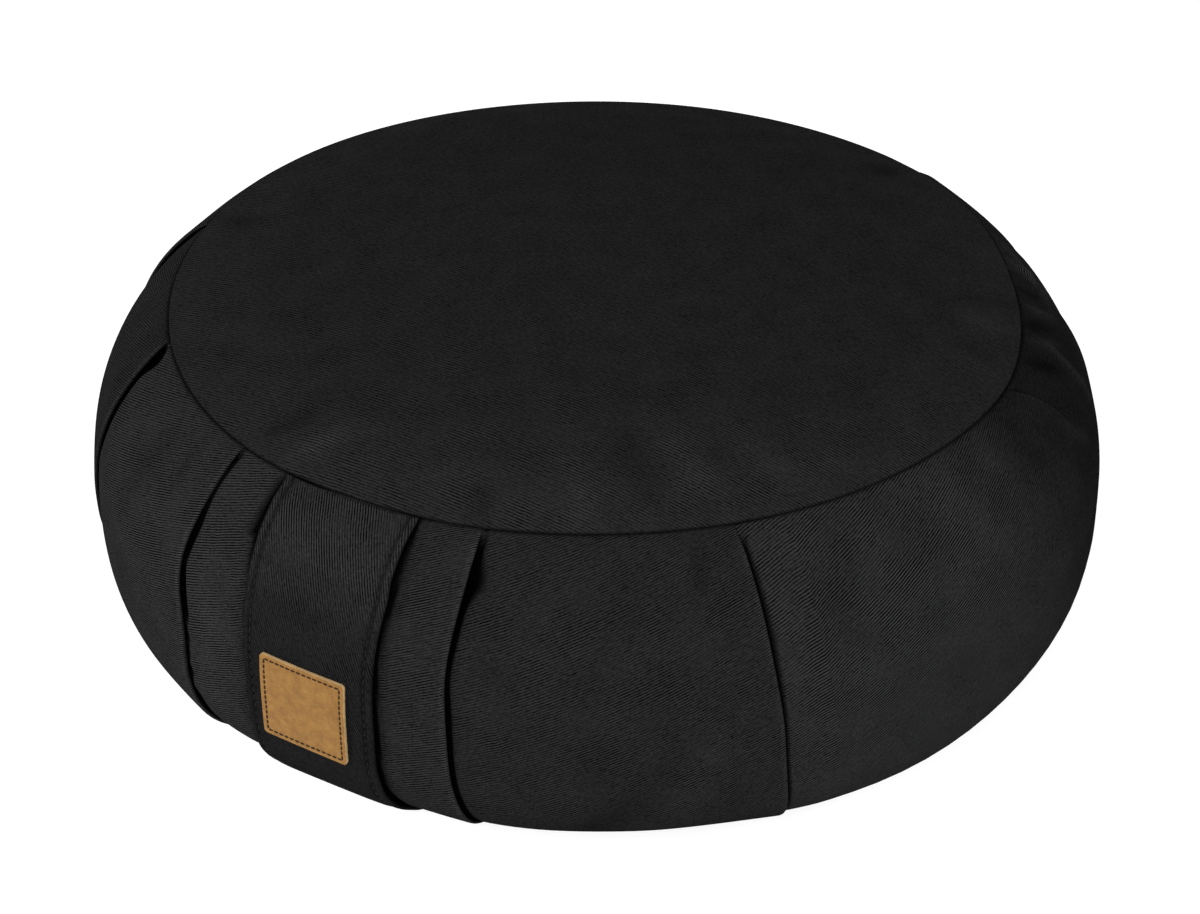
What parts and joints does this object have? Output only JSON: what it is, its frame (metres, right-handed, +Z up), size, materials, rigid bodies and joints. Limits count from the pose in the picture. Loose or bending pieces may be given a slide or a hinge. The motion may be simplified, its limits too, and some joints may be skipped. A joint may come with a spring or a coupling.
{
  "type": "zafu meditation cushion",
  "caption": "Round filled sitting cushion in black twill with a knife-pleated side, a flat carrying strap from seam to seam and a small leather patch, for sitting on the floor.",
  "frame": {"origin": "on the floor under the middle of the cushion, where it rests", "axes": "+Z up along the cushion's axis; -Y to the front, where the carrying strap is; +X to the right seen from the front"},
  "size_m": [0.4062, 0.4081, 0.1535],
  "materials": {
    "black_twill": "matte cotton twill with fine diagonal lines",
    "tan_leather": "smooth tan leather with a stitched edge"
  },
  "bodies": {
    "root": {"cushion_body": "black_twill", "top_panel": "black_twill", "bottom_panel": "black_twill", "handle_strap": "black_twill", "leather_patch": "tan_leather"}
  },
  "joints": []
}
